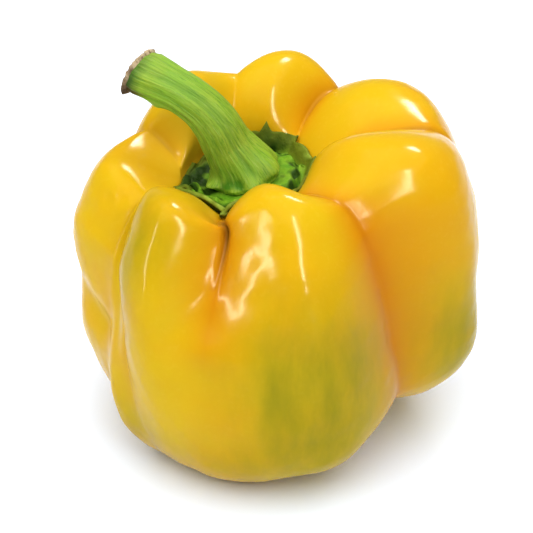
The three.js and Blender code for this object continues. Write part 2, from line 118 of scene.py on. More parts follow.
# Creases and swellings that belong to no furrow: a line from a to b, its half width, its depth inwards
FOLDS = [
    dict(a=(-46, -2, 36), b=(-37, -13, 31), width=3.2, depth=1.6),
    dict(a=(-0.5, -25, 65), b=(-1.5, -38, 55), width=4.5, depth=0.9),
    dict(a=(-15, -38, 41.5), b=(-10, -39, 40.5), width=4.5, depth=-1.3),
]


def lobe_outline(
    low, belly, upper, shoulder, height, foot, lift, heel=0.66, drop=0, wall=9.5, dip=0, slope=0,
):
    """Radius and height of the points its outline follows, from the blossom end down into the pit."""
    return np.array([
        (0, HOLLOW_HEIGHT),
        (7, HOLLOW_HEIGHT - 1.5),
        (0.58 * foot, lift + 1),
        (foot, lift - 2.5 - drop),
        (foot + heel * (low - foot), lift + 4),
        (low, lift + 18),
        (belly, BELLY_HEIGHT),
        (upper, UPPER_HEIGHT),
        (0.9 * upper + 0.1 * shoulder - 0.7 * slope, height - 9),
        (0.45 * shoulder + 0.55 * upper - slope, height + 1.5),
        (shoulder, height + 4),
        (max(shoulder - wall, NECK_RADIUS + 1.5), height - dip),
        (NECK_RADIUS, max(height - 10, CROWN_FLOOR + 3)),
        (NECK_RADIUS + 1, CROWN_FLOOR + 1.5),
        (8, CROWN_FLOOR),
        (0, CROWN_FLOOR),
    ], float)


# How a furrow cuts into the outline: the way it cuts at each point, and the share of its seven depths there
CUT_WAY = np.array([
    (0, 0), (0, 0), (0, -1), (0.3, -0.95), (0.8, -0.6), (1, 0), (1, 0), (1, 0),
    (0.95, 0.3), (0.7, 0.7), (0.1, 1), (-0.6, 0.8), (-1, 0.2), (-1, 0), (0, 0), (0, 0),
])
CUT_SHARE = np.zeros((len(CUT_WAY), 7))
for point, which, share in [
    (2, 0, 0.7), (3, 0, 1), (4, 0, 0.6), (4, 1, 0.4), (5, 1, 1), (6, 2, 1), (7, 3, 1),
    (8, 4, 1), (9, 4, 0.5), (9, 5, 0.5), (10, 5, 1), (11, 5, 1), (12, 6, 1), (13, 6, 0.6),
]:
    CUT_SHARE[point, which] = share
LAST = len(CUT_WAY) - 1

lobe_outlines = [lobe_outline(**lobe) for lobe in LOBES]
furrow_outlines = []
for j, furrow in enumerate(FURROWS):
    depth = CUT_SHARE @ np.array(furrow["depth"], float)
    furrow_outlines.append((lobe_outlines[j - 1] + lobe_outlines[j]) / 2 - depth[:, None] * CUT_WAY)


def towards_furrow(t, sharpness):
    """0 on the middle of a lobe, 1 in the furrow; a sharp side stays full and drops late."""
    rounding = 0.1 - 0.05 * sharpness
    away = (np.hypot(1 - t, rounding) - rounding) / (np.hypot(1, rounding) - rounding)
    near = 1 - away
    soft = (1 - np.cos(np.pi * near)) / 2
    sharp = 1 - np.clip(1 - near ** 2, 0, 1) ** 0.62
    return soft + (sharp - soft) * sharpness


def column_points(j, t):
    """The sixteen points that the skin's outline follows at position t, -1 to 1, across lobe j."""
    after = (j + 1) % len(LOBES)
    side = j if t < 0 else after
    share = np.arange(LAST + 1) / LAST
    start = np.interp(share, FURROW_SHARES, FURROWS[j]["angle"])
    end = np.interp(share, FURROW_SHARES, FURROWS[after]["angle"])
    angle = np.radians(start + (t + 1) / 2 * ((end - start) % 360))
    sides = FURROWS[j]["after"] if t < 0 else FURROWS[after]["before"]
    g = towards_furrow(abs(t), np.interp(share, FURROW_SHARES, sides))
    shape = lobe_outlines[j] + (furrow_outlines[side] - lobe_outlines[j]) * g[:, None]
    x = np.interp(share, AXIS_SHARE, AXIS_X) + shape[:, 0] * np.cos(angle)
    y = np.interp(share, AXIS_SHARE, AXIS_Y) + shape[:, 0] * np.sin(angle)
    return np.stack([x, y, shape[:, 1]], axis=1)


COLUMNS_PER_LOBE = 40
columns = []
across = []
for j in range(len(LOBES)):
    for i in range(COLUMNS_PER_LOBE):
        t = 2 * i / COLUMNS_PER_LOBE - 1
        across.append((j, t))
        columns.append(column_points(j, t))
columns = np.array(columns)
lobe_of = np.array([j for j, t in across])
t_of = np.array([t for j, t in across])

# Beyond each end the outline carries on across the middle
before_start = columns[:, 1] * [-1, -1, 1] + columns[:, 0] * [2, 2, 0]
past_end = columns[:, LAST - 1] * [-1, -1, 1] + columns[:, LAST] * [2, 2, 0]
outline_points = np.concatenate([before_start[:, None], columns, past_end[:, None]], axis=1)


def on_skin(s, column):
    """Points of the smooth skin; s runs from 0 at the blossom end to 15 in the middle of the crown."""
    k = np.clip(np.floor(s).astype(int), 0, LAST - 1)
    u = (s - k)[..., None]
    a, b, c, d = (outline_points[column, k + n] for n in range(4))
    total = a * (1 - u) ** 3 + b * (3 * u ** 3 - 6 * u ** 2 + 4)
    total = total + c * (-3 * u ** 3 + 3 * u ** 2 + 3 * u + 1) + d * u ** 3
    return total / 6


def waves(points, length, seed, count=7):
    """A smooth random swell over space, about -1 to 1, with the given wavelength."""
    draw = np.random.RandomState(seed)
    total = np.zeros(points.shape[:-1])
    for _ in range(count):
        way = draw.normal(size=3)
        way *= 2 * np.pi / length * draw.uniform(0.7, 1.4) / np.linalg.norm(way)
        total += np.sin(points @ way + draw.uniform(0, 2 * np.pi))
    return total / math.sqrt(count)


def swell(distance, width):
    """A smooth swelling, 1 in its middle."""
    return np.exp(-((distance / width) ** 2))


def ramp(value, start, end):
    """0 up to start and 1 from end on, straight between them."""
    return np.clip((value - start) / (end - start), 0, 1)


def eased(share):
    """A ramp with both its ends softened."""
    return share ** 2 * (3 - 2 * share)


# Fine puckers where the left lobe is drawn in beside the front left one
PUCKERS = [
    dict(a=(-34, -11, 60), b=(-25, 0, 62), width=1.3, depth=0.5),
    dict(a=(-37, -9, 58.5), b=(-30, 2, 63.5), width=1.1, depth=0.4),
    dict(a=(-30, -10, 61), b=(-22, -3, 61), width=1.1, depth=0.4),
]


def folded(points):
    """The points with the folds pressed in, and the way inwards at each."""
    inward = np.stack([-2 - points[..., 0], -points[..., 1], 0.3 * (BELLY_HEIGHT - points[..., 2])], axis=-1)
    inward /= np.linalg.norm(inward, axis=-1, keepdims=True)
    for fold in FOLDS + PUCKERS:
        a, b = np.array(fold["a"], float), np.array(fold["b"], float)
        along = np.clip((points - a) @ (b - a) / ((b - a) @ (b - a)), 0, 1)
        distance = np.linalg.norm(points - (a + along[..., None] * (b - a)), axis=-1)
        points = points + inward * (fold["depth"] * swell(distance, fold["width"]))[..., None]
    return points, inward


# Rows of points up the side, then closer rows from the shoulder down into the pit
SIDE_ROWS = 150
SHOULDER = 10.5
PIT_ROWS = 90
column_index = np.arange(len(columns))
side_s = np.linspace(0, SHOULDER, SIDE_ROWS)[1:]
pit_s = np.linspace(SHOULDER, LAST, PIT_ROWS)[1:-1]
row_s = np.concatenate([side_s, pit_s])
s_grid, column_grid = np.meshgrid(row_s, column_index, indexing="ij")
skin = on_skin(s_grid, column_grid)
skin, skin_inward = folded(skin)

# Shallow unevenness of the skin, in two sizes
skin += skin_inward * (0.16 * waves(skin, 13, 3) + 0.05 * waves(skin, 5, 4))[..., None]

# The sharp line where two lobes press together at the bottom of each furrow, from the belly up into the crown
CREASE_DEPTH = np.array([0.3, 2.2, 0.3, 1.2, 0.6, 0, 0.3, 0.3])
CREASE_WIDTH = 0.055
CREASE_START = (7.2, 9)
CREASE_END = (11.8, 11)
furrow_near = np.where(t_of < 0, lobe_of, (lobe_of + 1) % len(LOBES))
crease = ramp(row_s, *CREASE_START) * ramp(row_s, *CREASE_END)
crease = crease[:, None] * swell(1 - np.abs(t_of), CREASE_WIDTH)[None, :]
skin += skin_inward * (crease * CREASE_DEPTH[furrow_near])[..., None]

# The feet have settled level on the table
skin[..., 2] = np.maximum(skin[..., 2], 0)
bottom_middle = on_skin(np.array([0.0]), np.array([0]))[0]
crown_middle = on_skin(np.array([float(LAST)]), np.array([0]))[0]

# The middle of the footprint is the origin
low_corner = skin.reshape(-1, 3).min(axis=0)
high_corner = skin.reshape(-1, 3).max(axis=0)
shift = np.array([-(low_corner[0] + high_corner[0]) / 2, -(low_corner[1] + high_corner[1]) / 2, 0])


def closed_mesh(name, start, rows, end):
    """A closed mesh from rows of points that each go once round, with one point at each end."""
    around = rows.shape[1]
    points = np.concatenate([start[None], rows.reshape(-1, 3), end[None]])
    faces = []
    last_row = 1 + (len(rows) - 1) * around
    for i in range(around):
        n = (i + 1) % around
        faces.append((0, 1 + n, 1 + i))
        faces.append((len(points) - 1, last_row + i, last_row + n))
    for row in range(len(rows) - 1):
        here = 1 + row * around
        for i in range(around):
            n = (i + 1) % around
            faces.append((here + i, here + n, here + around + n, here + around + i))
    mesh = bpy.data.meshes.new(name)
    mesh.from_pydata(((points + shift) / 1000).tolist(), [], faces)
    mesh.shade_smooth()
    piece = bpy.data.objects.new(name, mesh)
    bpy.context.collection.objects.link(piece)
    return piece


def paint(piece, name, start, values, end):
    """Keeps a number for every point of the mesh, for its material to read."""
    data = np.concatenate([[start], values.ravel(), [end]]).astype(np.float32)
    piece.data.attributes.new(name, "FLOAT", "POINT").data.foreach_set("value", data)


fruit = closed_mesh("fruit_skin", bottom_middle, skin, crown_middle)

# Painted shade and warm bounce light: the skin is painted a deeper, darker orange down in the furrows: how
# strongly in each, and the depth where it is full
FURROW_SHADE_SHARE = np.array([1, 0.85, 0.9, 0.8, 0.6, 0.3, 0.35, 0.8])
FURROW_SHADE_FULL_DEPTH = 8
furrow_depth = [CUT_SHARE @ np.array(furrow["depth"], float) for furrow in FURROWS]
depth_here = [np.interp(row_s, np.arange(LAST + 1), furrow_depth[k]) for k in furrow_near]
depth_here = np.stack(depth_here, axis=1)
in_pit = ramp(row_s[:, None], 8.5, 10)
near_furrow = ramp(np.abs(t_of)[None, :], 0.35 + 0.2 * in_pit, 1) ** 1.6
furrow_shade = FURROW_SHADE_SHARE[furrow_near][None, :] * np.clip(depth_here / FURROW_SHADE_FULL_DEPTH, 0, 1.2) * near_furrow

# Painted shade: the deepest creases are painted dark brown at the bottom, and made dull there
CREASE_SHADE_FULL_DEPTH = 1.6
paint(fruit, "crease_shade", 0, crease * ramp(CREASE_DEPTH[furrow_near], 0, CREASE_SHADE_FULL_DEPTH), 0)


def patch(points, middle, size):
    """1 at the middle of a soft patch on the skin, falling to 0 outside its size."""
    away = (points - np.array(middle, float)) / np.array(size, float)
    return np.exp(-(away ** 2).sum(axis=-1))


# Where the skin is still a little green: low on the front and right lobes, on the left front lobe's shoulder,
# on the heel and at the feet. The last two weak patches are painted shade on the middle of the front and
# right lobes. Each patch has its middle, its size and its strength.
GREEN_AND_SHADE_PATCHES = [
    ((8, -41, 35), (13, 14, 15), 0.95),
    ((2, -40, 30), (26, 14, 18), 0.2),
    ((17, -37, 21), (14, 14, 12), 0.5),
    ((20, -36, 37), (8, 8, 8), 0.3),
    ((2, -34, 14), (13, 12, 9), 0.4),
    ((37, -11, 30), (9, 13, 15), 0.95),
    ((-25, -25, 63), (9, 11, 9), 0.45),
    ((-33, -28, 52), (9, 10, 14), 0.35),
    ((-30, -21, 10), (10, 12, 12), 0.55),
    ((-10, -36, 8), (20, 14, 9), 0.35),
    # Painted shade: these two weak patches darken the middle of the front and right lobes
    ((3, -37, 50), (16, 14, 13), 0.13),
    ((33, -16, 44), (12, 14, 15), 0.12),
]
green_and_shade = np.zeros(skin.shape[:2])
for middle, size, strength in GREEN_AND_SHADE_PATCHES:
    green_and_shade += strength * patch(skin, middle, size)
# Where patches overlap, their sum levels off towards 1
green_and_shade = green_and_shade / (1 + green_and_shade ** 4) ** 0.25
paint(fruit, "green_and_shade", 0, green_and_shade, 0)

# More painted shade on the right lobe's side towards the front one, along the furrow between them
FURROW_SHADE_PATCHES = [((30, -24, 62), (14, 13, 13), 0.3), ((33, -20, 40), (13, 12, 14), 0.22)]
for middle, size, strength in FURROW_SHADE_PATCHES:
    furrow_shade += strength * patch(skin, middle, size)
paint(fruit, "furrow_shade", 0, furrow_shade, 0)

# Painted light: the pit's wall behind the stalk, which lies in shade, is painted a paler yellow
pit_painted_light = 0.8 * patch(skin, (-23, 11, 64), (8, 9, 8)) * ramp(row_s[:, None], 10, 11.5)
paint(fruit, "pit_painted_light", 0, pit_painted_light, 0)


def link(tree, from_socket, to_socket):
    tree.links.new(from_socket, to_socket)


def new_material(name):
    """A material, its node tree and its surface shader."""
    material = bpy.data.materials.new(name)
    material.use_nodes = True
    tree = material.node_tree
    shader = tree.nodes["Principled BSDF"]
    return material, tree, shader


def node(tree, kind, **settings):
    made = tree.nodes.new(kind)
    for key, value in settings.items():
        setattr(made, key, value)
    return made


def noise(tree, where, scale, detail=2.0, roughness=0.5):
    made = node(tree, "ShaderNodeTexNoise")
    made.inputs["Scale"].default_value = scale
    made.inputs["Detail"].default_value = detail
    made.inputs["Roughness"].default_value = roughness
    link(tree, where, made.inputs["Vector"])
    return made.outputs["Fac"]


def stretched(tree, where, scale):
    made = node(tree, "ShaderNodeMapping")
    made.inputs["Scale"].default_value = scale
    link(tree, where, made.inputs["Vector"])
    return made.outputs["Vector"]


def spread(tree, value, low, high, new_low=0.0, new_high=1.0):
    """The value moved from the range low to high into the new range, and held inside it."""
    made = node(tree, "ShaderNodeMapRange")
    made.inputs["From Min"].default_value = low
    made.inputs["From Max"].default_value = high
    made.inputs["To Min"].default_value = new_low
    made.inputs["To Max"].default_value = new_high
    link(tree, value, made.inputs["Value"])
    return made.outputs["Result"]


def times(tree, a, b):
    made = node(tree, "ShaderNodeMath", operation="MULTIPLY")
    link(tree, a, made.inputs[0])
    if isinstance(b, (int, float)):
        made.inputs[1].default_value = b
    else:
        link(tree, b, made.inputs[1])
    return made.outputs[0]


def blended(tree, amount, a, b):
    """Colour a where amount is 0 and colour b where it is 1."""
    made = node(tree, "ShaderNodeMix", data_type="RGBA")
    link(tree, amount, made.inputs["Factor"])
    for colour, socket in ((a, made.inputs[6]), (b, made.inputs[7])):
        if isinstance(colour, tuple):
            socket.default_value = (*colour, 1)
        else:
            link(tree, colour, socket)
    return made.outputs[2]


def painted(tree, name):
    made = node(tree, "ShaderNodeAttribute", attribute_name=name)
    return made.outputs["Fac"]


def raised(tree, shader, heights):
    """Surface relief from several fine heights, each with its depth in metres."""
    normal = None
    for height, depth in heights:
        bump = node(tree, "ShaderNodeBump")
        bump.inputs["Strength"].default_value = 1
        bump.inputs["Distance"].default_value = depth
        link(tree, height, bump.inputs["Height"])
        if normal is not None:
            link(tree, normal, bump.inputs["Normal"])
        normal = bump.outputs["Normal"]
    link(tree, normal, shader.inputs["Normal"])


def let_light_in(shader, weight, radius, depth):
    """Light enters the flesh and comes out a little way off: its share, reach by colour, depth in metres."""
    shader.inputs["Subsurface Weight"].default_value = weight
    shader.inputs["Subsurface Radius"].default_value = radius
    shader.inputs["Subsurface Scale"].default_value = depth


GOLDEN = (0.62, 0.335, 0.005)
LEMON = (0.60, 0.375, 0.006)
LIGHT_SPECK = (0.93, 0.68, 0.12)
PIT_LIGHT_YELLOW = (0.95, 0.62, 0.03)
FURROW_SHADE_ORANGE = (0.53, 0.17, 0.002)
CREASE_SHADE_BROWN = (0.16, 0.055, 0.002)
UNRIPE_AND_SHADE_GREEN = (0.19, 0.182, 0.003)
WAX_SHINE = (1, 0.93, 0.68)

skin_material, tree, shader = new_material("waxy_yellow_skin")
place = node(tree, "ShaderNodeTexCoord").outputs["Object"]
mottle = spread(tree, noise(tree, place, 45, detail=3), 0.38, 0.62)
tall = stretched(tree, place, (1, 1, 0.3))
streaks = spread(tree, noise(tree, tall, 160, detail=4, roughness=0.6), 0.3, 0.7)
speckle = spread(tree, noise(tree, place, 900, detail=1), 0.55, 0.75)
yellow = blended(tree, mottle, GOLDEN, LEMON)
yellow = blended(tree, times(tree, speckle, 0.04), yellow, LIGHT_SPECK)
# Painted light: paler yellow on the shaded wall of the pit
yellow = blended(tree, painted(tree, "pit_painted_light"), yellow, PIT_LIGHT_YELLOW)
# Painted shade and warm bounce light: deeper orange down in the furrows
yellow = blended(tree, painted(tree, "furrow_shade"), yellow, FURROW_SHADE_ORANGE)
# Painted shade: dark brown along the bottom of the deepest creases
yellow = blended(tree, times(tree, painted(tree, "crease_shade"), 0.9), yellow, CREASE_SHADE_BROWN)
# Mostly the skin's own unripe green, with two weak patches of painted shade
green_and_shade_share = times(tree, painted(tree, "green_and_shade"), spread(tree, streaks, 0, 1, 0.6, 1.1))
yellow = blended(tree, green_and_shade_share, yellow, UNRIPE_AND_SHADE_GREEN)
link(tree, yellow, shader.inputs["Base Color"])
dull = node(tree, "ShaderNodeMath", operation="MULTIPLY_ADD")
link(tree, painted(tree, "crease_shade"), dull.inputs[0])
dull.inputs[1].default_value = 0.6
link(tree, spread(tree, mottle, 0, 1, 0.15, 0.2), dull.inputs[2])
link(tree, dull.outputs[0], shader.inputs["Roughness"])
let_light_in(shader, 0.1, (1.0, 0.5, 0.1), 0.003)
shader.inputs["Specular IOR Level"].default_value = 0.06
shader.inputs["Specular Tint"].default_value = (*WAX_SHINE, 1)
raised(tree, shader, [
    (noise(tree, place, 220, detail=2), 0.00006),
    (noise(tree, place, 1400, detail=1), 0.000006),
])
fruit.data.materials.append(skin_material)
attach(fruit, "root")
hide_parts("fruit")


# Calyx
# The crumpled green cup that held the flower: a thin leathery plate grown on to the stalk's foot. It lines
# the pit, folds where the fruit swelled under it, and ends in a ruffled rim with a few small teeth.

# Height of its rim round the pit, by degrees from the right
RIM = [
    (0, 60.5), (15, 60.4), (25, 60.3), (36, 60.6), (47, 60.4), (58, 61.4), (66, 62.3),
    (80, 61.8), (100, 60.5), (125, 59.3), (145, 58.3), (165, 58), (190, 58.2), (205, 59.3),
    (220, 60.5), (232, 60.3), (247, 58.8), (262, 61), (280, 62), (310, 61), (360, 60.5),
]
RUFFLES = 14
RUFFLE_HEIGHT = 0.4
# The small teeth on the rim: angle, height, half width
TEETH = [(72, 2.6, 6), (155, 1.0, 7), (247, 0.8, 8), (300, 0.8, 10)]
CALYX_THICKNESS = 1.7
CALYX_EDGE = 0.8
CALYX_RISE = 0.9
CALYX_FOLDS = 11
CALYX_FOLD_HEIGHT = 0.7
CALYX_ROWS = 70
# The stalk's seat in the middle is flat and rises a little to the right
SEAT_RADIUS = 9.4
SEAT_HEIGHT = 58.6
SEAT_SLOPE = 0.2
SEAT_BLEND = 4
# Pieces that have grown together are kept this far apart
GAP = 0.3


def off_angle(angle, middle):
    """The smaller angle from middle to angle, in degrees."""
    return (angle - middle + 180) % 360 - 180


neck = on_skin(np.full(len(columns), 12.4), column_index)
rim_angle = np.degrees(np.arctan2(neck[:, 1] - CROWN_Y, neck[:, 0] - CROWN_X)) % 360
rim_height = np.interp(rim_angle, *zip(*RIM))
rim_height += RUFFLE_HEIGHT * np.sin(np.radians(RUFFLES * rim_angle))
for angle, height, half_width in TEETH:
    rim_height += height * ramp(np.abs(off_angle(rim_angle, angle)), half_width, 0) ** 1.3

# In each column the calyx climbs the pit's wall until it is as high as its rim
WALL_FOOT = 13.6
WALL_TOP = 10.6
climb_s = np.linspace(WALL_FOOT, WALL_TOP, 600)
climb = on_skin(*np.meshgrid(climb_s, column_index, indexing="ij"))[..., 2]
calyx_reach = LAST - climb_s[np.argmax(climb >= rim_height, axis=0)]
share, column_grid = np.meshgrid(np.arange(1, CALYX_ROWS + 1) / CALYX_ROWS, column_index, indexing="ij")
calyx_s = LAST - share * calyx_reach
pit = on_skin(calyx_s, column_grid)
pit_down = on_skin(calyx_s + 0.05, column_grid) - on_skin(calyx_s - 0.05, column_grid)
pit_round = on_skin(calyx_s, (column_grid + 1) % len(columns)) - on_skin(calyx_s, column_grid - 1)
pit_out = np.cross(pit_round, pit_down)
pit_out /= np.linalg.norm(pit_out, axis=-1, keepdims=True)
clear = GAP + 1.6 * GAP * share
under = pit + pit_out * clear[..., None]

round_angle = np.arctan2(pit[..., 1] - CROWN_Y, pit[..., 0] - CROWN_X)
from_stalk = np.hypot(pit[..., 0] - CROWN_X, pit[..., 1] - CROWN_Y)
spread_out = eased(ramp(from_stalk, SEAT_RADIUS, SEAT_RADIUS + SEAT_BLEND))
fold = np.sin(CALYX_FOLDS * round_angle + 3 * share + 1.2 * np.sin(3 * round_angle))
fold *= 0.7 + 0.3 * np.sin(2 * round_angle)
calyx_thickness = CALYX_THICKNESS + (CALYX_EDGE - CALYX_THICKNESS) * share ** 3
top = pit + pit_out * (clear + calyx_thickness)[..., None]
seat = SEAT_HEIGHT + SEAT_SLOPE * (top[..., 0] - CROWN_X)
ring = np.sin(np.pi * spread_out)
crumple = (CALYX_RISE + CALYX_FOLD_HEIGHT * fold) * ring * (1 - share ** 4)
top[..., 2] = seat + (top[..., 2] - seat) * spread_out + crumple

# Fine lumps, strong on the floor of the pit and slight on its wall
floor_share = 0.22 + 0.78 * ramp(share, 0.8, 0.55)
fine = (0.7 * waves(top, 4.6, 23) + 0.4 * waves(top, 2.4, 21) + 0.14 * waves(top, 1.2, 22)) * floor_share
top += pit_out * (fine * spread_out * (1 - 0.6 * share ** 6))[..., None]

calyx = closed_mesh(
    "calyx_cup",
    np.array([CROWN_X, CROWN_Y, CROWN_FLOOR + GAP]),
    np.concatenate([under, top[::-1]]),
    np.array([CROWN_X, CROWN_Y, SEAT_HEIGHT]),
)

# It is painted paler along its very edge in three places: angle, half width, strength
LIPS = [(238, 26, 1), (24, 9, 0.7), (136, 9, 0.6)]
lip_strength = sum(strength * swell(rim_angle - angle, half_width) for angle, half_width, strength in LIPS)
lip = 0.6 * ramp(share, 0.92, 0.97) * lip_strength * np.clip(0.6 + 0.6 * waves(top, 3, 24), 0, 1)
paint(calyx, "lip", 0, np.concatenate([lip, lip[::-1]]), 0)
paint(calyx, "edge", 0, np.concatenate([share, share[::-1]]), 0)

# Painted shade: it is painted darkest in its hollows: two pockets beside the stalk, the foot of the wall,
# between the lumps and in the folds
pocket_shade = 1.1 * patch(top, (-17.5, 1, 59), (4.5, 6, 4)) + 0.9 * patch(top, (-1, 14.5, 60), (4, 3.5, 3))
hollow_shade = pocket_shade + 0.6 * swell(share - 0.6, 0.1) - 0.7 * fine - 0.3 * (crumple - CALYX_RISE * ring)
paint(calyx, "hollow_shade", 0, np.concatenate([0 * share, hollow_shade[::-1]]), 0)

CALYX_GREEN = (0.085, 0.23, 0.009)
CALYX_LIGHT = (0.18, 0.33, 0.018)
CALYX_SHADE = (0.018, 0.05, 0.003)
CALYX_OLIVE = (0.12, 0.15, 0.009)
CALYX_RIM = (0.30, 0.42, 0.05)
calyx_material, tree, shader = new_material("leathery_green_calyx")
place = node(tree, "ShaderNodeTexCoord").outputs["Object"]
green_spots = spread(tree, noise(tree, place, 350, detail=4, roughness=0.6), 0.35, 0.65)
green_colour = blended(tree, green_spots, CALYX_GREEN, CALYX_LIGHT)
green_colour = blended(tree, spread(tree, painted(tree, "edge"), 0.62, 0.9), green_colour, CALYX_OLIVE)
# Painted shade: near black green in the hollows
green_colour = blended(tree, spread(tree, painted(tree, "hollow_shade"), 0.1, 0.9), green_colour, CALYX_SHADE)
green_colour = blended(tree, painted(tree, "lip"), green_colour, CALYX_RIM)
link(tree, green_colour, shader.inputs["Base Color"])
link(tree, spread(tree, green_spots, 0, 1, 0.5, 0.7), shader.inputs["Roughness"])
shader.inputs["Specular IOR Level"].default_value = 0.04
shader.inputs["Specular Tint"].default_value = (0.9, 1, 0.5, 1)
let_light_in(shader, 0.08, (0.5, 1.0, 0.2), 0.0015)
raised(tree, shader, [
    (noise(tree, place, 420, detail=4, roughness=0.6), 0.0006),
    (noise(tree, place, 2200, detail=1), 0.00004),
])
calyx.data.materials.append(calyx_material)
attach(calyx, "root")
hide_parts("calyx")


# Stalk
# The tough ribbed stem that the fruit hung from. It stands on the calyx with its ribs swollen into knobs,
# leans left, bends over and swells a little again where it was cut.

seat_normal = np.array([-SEAT_SLOPE, 0, 1.0])
seat_normal /= np.linalg.norm(seat_normal)
foot = np.array([CROWN_X, CROWN_Y, SEAT_HEIGHT]) + GAP * seat_normal
STALK_LINE = np.array([
    foot,
    (-7.8, 2.2, 62.4),
    (-10.6, 2, 67.5),
    (-12.9, 2, 72.3),
    (-16.2, 2.3, 76.4),
    (-21.8, 3, 80.5),
    (-28.3, 4.4, 83.4),
])
STALK_RADIUS = [7.3, 6.3, 5.1, 4.7, 4.3, 4.2, 4.9]
TURN_LENGTH = 0.25
STALK_SIDES = 200
STALK_ROWS = 240
# Its ribs: angle round it from the right, height, half width in degrees
RIBS = [
    (350, 0.35, 14), (320, 0.25, 17), (270, 0.35, 15), (238, 0.35, 9), (204, 0.35, 21),
    (163, 0.3, 13), (135, 0.25, 14), (100, 0.3, 15), (62, 0.3, 15), (24, 0.3, 15),
]
# The round knobs just above its foot: angle, height, half width, and place along the stalk's line
KNOBS = [
    (207, 2.5, 23, 0.5), (251, 1.2, 11, 0.3), (287, 2, 17, 0.42), (334, 2.5, 24, 0.6),
    (25, 1.6, 20, 0.5), (70, 1.4, 19, 0.45), (115, 1.4, 20, 0.5), (160, 1.4, 18, 0.42),
]
KNOB_BELOW = 0.34
KNOB_ABOVE = 0.55
RIB_TWIST = 10
# It is drawn in a little under and between the knobs, and rounded off at its other end
FOOT_DRAWN_IN = 0.3
WAIST_PLACE = 0.48
WAIST_DRAWN_IN = 0.7
END_ROUNDING = 0.4
# The small bump under it just before the cut
BUMP_ANGLE = 195
BUMP_HEIGHT = 0.9
BUMP_WIDTH = 24
BUMP_PLACE = 5.15
BUMP_LENGTH = 0.3
# The cut is slanted: its front reaches further along the stalk than its back
CUT_SLANT = 0.4


def stalk_line(place):
    """Point and direction at each place, counted in points of the line."""
    before_foot = 2 * STALK_LINE[0] - STALK_LINE[1]
    past_cut = 2 * STALK_LINE[-1] - STALK_LINE[-2]
    padded = np.concatenate([[before_foot], STALK_LINE, [past_cut]])
    k = np.clip(np.floor(place).astype(int), 0, len(STALK_LINE) - 2)
    u = (place - k)[..., None]
    a, b, c, d = (padded[k + n] for n in range(4))
    square = 2 * a - 5 * b + 4 * c - d
    cube = 3 * b - a - 3 * c + d
    point = 0.5 * (2 * b + (c - a) * u + square * u ** 2 + cube * u ** 3)
    way = 0.5 * ((c - a) + 2 * square * u + 3 * cube * u ** 2)
    return point, way / np.linalg.norm(way, axis=-1, keepdims=True)


def stalk_frame(place):
    """Middle of the stalk, and its directions ahead, back and right, square to its seat at the foot."""
    middle, way = stalk_line(place)
    turned = eased(ramp(place / (len(STALK_LINE) - 1), 0, TURN_LENGTH))[..., None]
    ahead = seat_normal + (way - seat_normal) * turned
    ahead /= np.linalg.norm(ahead, axis=-1, keepdims=True)
    back = np.array([0, 1, 0]) - ahead[..., 1:2] * ahead
    back /= np.linalg.norm(back, axis=-1, keepdims=True)
    return middle, ahead, back, np.cross(back, ahead)


stalk_place = np.linspace(0, len(STALK_LINE) - 1, STALK_ROWS)
middle, ahead, back, right = stalk_frame(stalk_place)
stalk_radius = np.interp(stalk_place, np.arange(len(STALK_LINE)), STALK_RADIUS)[:, None]
stalk_place = stalk_place[:, None]
stalk_share = stalk_place / (len(STALK_LINE) - 1)
turn = np.arange(STALK_SIDES) / STALK_SIDES * 2 * np.pi
turn_degrees = np.degrees(turn)


def knob_share(at):
    """How much of a knob at that place there is all along the stalk."""
    return swell(stalk_place - at, np.where(stalk_place < at, KNOB_BELOW, KNOB_ABOVE))


rib = np.zeros((STALK_ROWS, STALK_SIDES))
for angle, height, half_width in RIBS:
    rib += height * swell(off_angle(turn_degrees, angle + RIB_TWIST * stalk_share), half_width)
for angle, height, half_width, at in KNOBS:
    rib += height * knob_share(at) * swell(off_angle(turn_degrees, angle), half_width)
waist = knob_share(WAIST_PLACE)

# Fine grooves run along it
around_stalk = np.stack([np.cos(turn), np.sin(turn), 0 * turn], axis=-1)[None]
around_stalk = around_stalk + np.array([0, 0, 1.0]) * stalk_share[..., None]
grooves = 0.1 * waves(around_stalk * [9, 9, 2.0], 2.6, 31, 12)
grooves += 0.06 * waves(around_stalk * [20, 20, 3.0], 2.4, 32, 12)

bump = swell(off_angle(turn_degrees, BUMP_ANGLE), BUMP_WIDTH)
bump = BUMP_HEIGHT * swell(stalk_place - BUMP_PLACE, BUMP_LENGTH) * bump
drawn_in = FOOT_DRAWN_IN * swell(stalk_place, 0.22) + WAIST_DRAWN_IN * waist
rounding = END_ROUNDING * eased(ramp(stalk_place, 5.8, 6))
slant = CUT_SLANT * eased(ramp(stalk_place, 5, 6))
r = stalk_radius + rib - drawn_in - rounding + (1 - 0.3 * waist) * grooves + bump
stalk_rows = (
    middle[:, None]
    - ahead[:, None] * (slant * r * np.sin(turn))[..., None]
    + right[:, None] * (r * np.cos(turn))[..., None]
    + back[:, None] * (r * np.sin(turn))[..., None]
)
stalk = closed_mesh("stalk_stem", middle[0], stalk_rows, middle[-1])
# Painted shade: the stalk is painted darker green down in its grooves and between its ribs and knobs, by how
# low they lie
paint(stalk, "groove_shade", 0, -(rib - rib.mean(axis=1, keepdims=True) + grooves), 0)

# It is dark just behind the cut, and brown at the cut's lower corner
near_cut = ramp(stalk_place, 5.66, 5.92) * (0.55 + 0.45 * np.cos(turn - np.radians(225)))
paint(stalk, "near_cut", 0, near_cut, 0)
corner = swell(off_angle(turn_degrees, 212), 26) * ramp(stalk_place, 5.45, 5.75)
paint(stalk, "corner", 0, corner, 0)

# Its fibres follow the bend, so their pattern is laid out round it and along it
GRAIN_STRETCH = 0.6
grain_points = (around_stalk * [1, 1, GRAIN_STRETCH]).reshape(-1, 3)
grain = np.concatenate([[[0, 0, 0]], grain_points, [[0, 0, GRAIN_STRETCH]]]).astype(np.float32)
stalk.data.attributes.new("grain", "FLOAT_VECTOR", "POINT").data.foreach_set("vector", grain.ravel())

